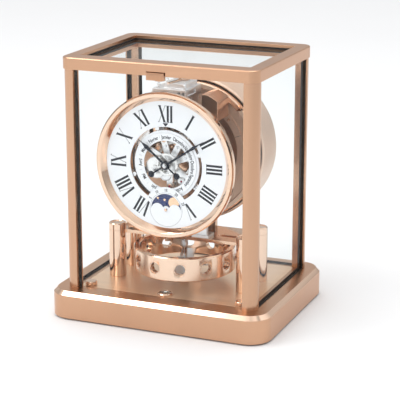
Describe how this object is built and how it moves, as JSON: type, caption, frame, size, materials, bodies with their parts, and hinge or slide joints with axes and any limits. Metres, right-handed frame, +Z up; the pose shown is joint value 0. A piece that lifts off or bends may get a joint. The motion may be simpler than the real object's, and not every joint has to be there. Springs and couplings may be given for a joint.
{
  "type": "torsion pendulum mantel clock",
  "caption": "Glass-cabinet mantel clock with a slow torsion pendulum, moon and month dial, and a bellows drum that winds its mainspring.",
  "frame": {"origin": "middle of the footprint, on the surface the clock stands on", "axes": "+X to the right facing the dial, +Y to the back, +Z up"},
  "size_m": [0.198, 0.161, 0.225],
  "materials": {
    "rose_polished": "polished rose gold plate on brass",
    "rose_satin": "fine satin rose gold plate on brass",
    "rose_brushed": "brushed rose gold plate on brass",
    "rhodium": "rhodium plated, fine satin",
    "steel": "ground steel",
    "spring_steel": "blued spring steel",
    "glass": "clear polished",
    "seal": "matt black",
    "dial_white": "smooth white lacquer",
    "hand_blue": "blue-black lacquer",
    "moon_blue": "navy enamel",
    "capsule_brass": "thin rolled sheet",
    "foot_pad": "matt, with a brass core"
  },
  "bodies": {
    "case": {"base_pan": "rose_satin", "base_cover": "rose_satin", "cover_screws": "steel", "floor_plate": "rose_brushed", "rear_foot": "foot_pad", "level_housing": "rose_polished", "level_lens": "glass", "corner_posts": "rose_satin", "top_frame": "rose_satin", "top_glass": "glass", "side_glasses": "glass", "back_glass": "glass", "glass_seals": "seal", "bridge_pillars": "rose_polished", "pillar_caps": "rose_polished", "bridge_plate": "rose_satin", "movement_legs": "rhodium", "torsion_wire": "spring_steel", "suspension_tube": "rhodium", "suspension_block": "rhodium", "front_plate": "rhodium", "back_plate": "rose_brushed", "plate_pillars": "rose_polished", "click": "rhodium", "dial": "dial_white", "bezel": "rose_polished", "drum_front": "rose_polished", "drum_shell": "rose_satin", "drum_rear_cover": "rose_satin", "drum_supports": "rose_polished"},
    "door": {"front_glass": "glass"},
    "latch": {"door_latch": "rose_satin"},
    "knob_left": {"level_knob_left": "rose_polished"},
    "knob_right": {"level_knob_right": "rose_polished"},
    "foot_left": {"front_foot_left": "foot_pad"},
    "foot_right": {"front_foot_right": "foot_pad"},
    "lever": {"lock_lever": "steel"},
    "plunger": {"lock_plunger": "steel"},
    "balance": {"balance_ring": "rose_satin", "balance_arms": "rhodium", "balance_staff": "steel"},
    "regulator": {"regulator_lever": "rose_polished"},
    "capsule": {"bellows_disc": "capsule_brass", "bellows": "capsule_brass"},
    "center": {"center_wheel": "rhodium", "cannon_pinion": "rhodium", "minute_hand": "hand_blue", "hand_nut": "rose_polished"},
    "intermediate": {"intermediate_wheel": "rhodium"},
    "barrel": {"barrel": "rose_polished", "mainspring": "spring_steel"},
    "winding": {"barrel_arbor": "steel", "ratchet_wheel": "rhodium"},
    "escape": {"escape_wheel": "steel"},
    "pallet": {"pallet_fork": "steel"},
    "minute_work": {"minute_wheel": "rhodium"},
    "hour": {"hour_wheel": "rhodium", "hour_hand": "hand_blue"},
    "month": {"month_ring": "rhodium"},
    "moon": {"moon_disc": "moon_blue"}
  },
  "joints": [
    {"name": "door_tilt", "type": "hinge", "parent": "case", "child": "door", "pos_m": [0, -0.0667, 0.0252], "axis": [1, 0, 0], "range_deg": [0, 15]},
    {"name": "latch_slide", "type": "slide", "parent": "door", "child": "latch", "axis": [0, 0, -1], "range_m": [0, 0.0018], "stiffness_N_per_m": 250, "springref_m": -0.001},
    {"name": "knob_left_turn", "type": "hinge", "parent": "case", "child": "knob_left", "pos_m": [-0.069, -0.054, 0.026], "axis": [0, 0, 1], "range_deg": [-360, 1080]},
    {"name": "knob_right_turn", "type": "hinge", "parent": "case", "child": "knob_right", "pos_m": [0.069, -0.054, 0.026], "axis": [0, 0, 1], "range_deg": [-360, 1080]},
    {"name": "foot_left_slide", "type": "slide", "parent": "case", "child": "foot_left", "axis": [0, 0, -1], "range_m": [-0.001, 0.003]},
    {"name": "foot_right_slide", "type": "slide", "parent": "case", "child": "foot_right", "axis": [0, 0, -1], "range_m": [-0.001, 0.003]},
    {"name": "lock_lever_turn", "type": "hinge", "parent": "case", "child": "lever", "pos_m": [0, -0.01, 0.004], "axis": [0, 0, 1], "range_deg": [0, 16]},
    {"name": "plunger_rise", "type": "slide", "parent": "case", "child": "plunger", "axis": [0, 0, 1], "range_m": [0, 0.0025]},
    {"name": "balance_turn", "type": "hinge", "parent": "case", "child": "balance", "pos_m": [0, -0.01, 0.047], "axis": [0, 0, 1], "range_deg": [-225, 225], "stiffness_Nm_per_rad": 0.0000037},
    {"name": "regulator_turn", "type": "hinge", "parent": "case", "child": "regulator", "pos_m": [0, -0.01, 0.202], "axis": [0, 0, 1], "range_deg": [-15, 15]},
    {"name": "capsule_slide", "type": "slide", "parent": "case", "child": "capsule", "axis": [0, 1, 0], "range_m": [-0.0035, 0.0035], "stiffness_N_per_m": 2000, "deforming": ["bellows"]},
    {"name": "center_turn", "type": "hinge", "parent": "case", "child": "center", "pos_m": [0, -0.04, 0.137], "axis": [0, 1, 0], "continuous": true},
    {"name": "intermediate_turn", "type": "hinge", "parent": "case", "child": "intermediate", "pos_m": [-0.00518, -0.04, 0.15632], "axis": [0, 1, 0], "continuous": true},
    {"name": "barrel_turn", "type": "hinge", "parent": "case", "child": "barrel", "pos_m": [-0.02531, -0.04, 0.16231], "axis": [0, 1, 0], "continuous": true},
    {"name": "winding_turn", "type": "hinge", "parent": "case", "child": "winding", "pos_m": [-0.02531, -0.04, 0.16231], "axis": [0, 1, 0], "continuous": true},
    {"name": "escape_turn", "type": "hinge", "parent": "case", "child": "escape", "pos_m": [0, -0.04, 0.117], "axis": [0, 1, 0], "continuous": true},
    {"name": "minute_work_turn", "type": "hinge", "parent": "case", "child": "minute_work", "pos_m": [-0.01128, -0.04, 0.1329], "axis": [0, 1, 0], "continuous": true},
    {"name": "hour_turn", "type": "hinge", "parent": "case", "child": "hour", "pos_m": [0, -0.04, 0.137], "axis": [0, 1, 0], "continuous": true},
    {"name": "month_turn", "type": "hinge", "parent": "case", "child": "month", "pos_m": [0, -0.04, 0.137], "axis": [0, 1, 0], "continuous": true},
    {"name": "moon_turn", "type": "hinge", "parent": "case", "child": "moon", "pos_m": [0, -0.04, 0.0986], "axis": [0, 1, 0], "continuous": true},
    {"name": "pallet_turn", "type": "hinge", "parent": "case", "child": "pallet", "pos_m": [0, -0.02, 0.1034], "axis": [0, 1, 0], "range_deg": [-1.8, 1.8]}
  ],
  "couplings": [
    {"joint": "knob_left_turn", "follows": "foot_left_slide", "rad_per_m": 6283.2},
    {"joint": "knob_right_turn", "follows": "foot_right_slide", "rad_per_m": 6283.2},
    {"joint": "plunger_rise", "follows": "lock_lever_turn", "m_per_rad": 0.00895},
    {"joint": "intermediate_turn", "follows": "center_turn", "ratio": -0.25},
    {"joint": "barrel_turn", "follows": "center_turn", "ratio": 0.041667},
    {"joint": "escape_turn", "follows": "center_turn", "ratio": -4},
    {"joint": "minute_work_turn", "follows": "center_turn", "ratio": -0.33333},
    {"joint": "hour_turn", "follows": "center_turn", "ratio": 0.083333},
    {"joint": "month_turn", "follows": "center_turn", "ratio": 0.00011408},
    {"joint": "moon_turn", "follows": "center_turn", "ratio": 0.00070547}
  ]
}
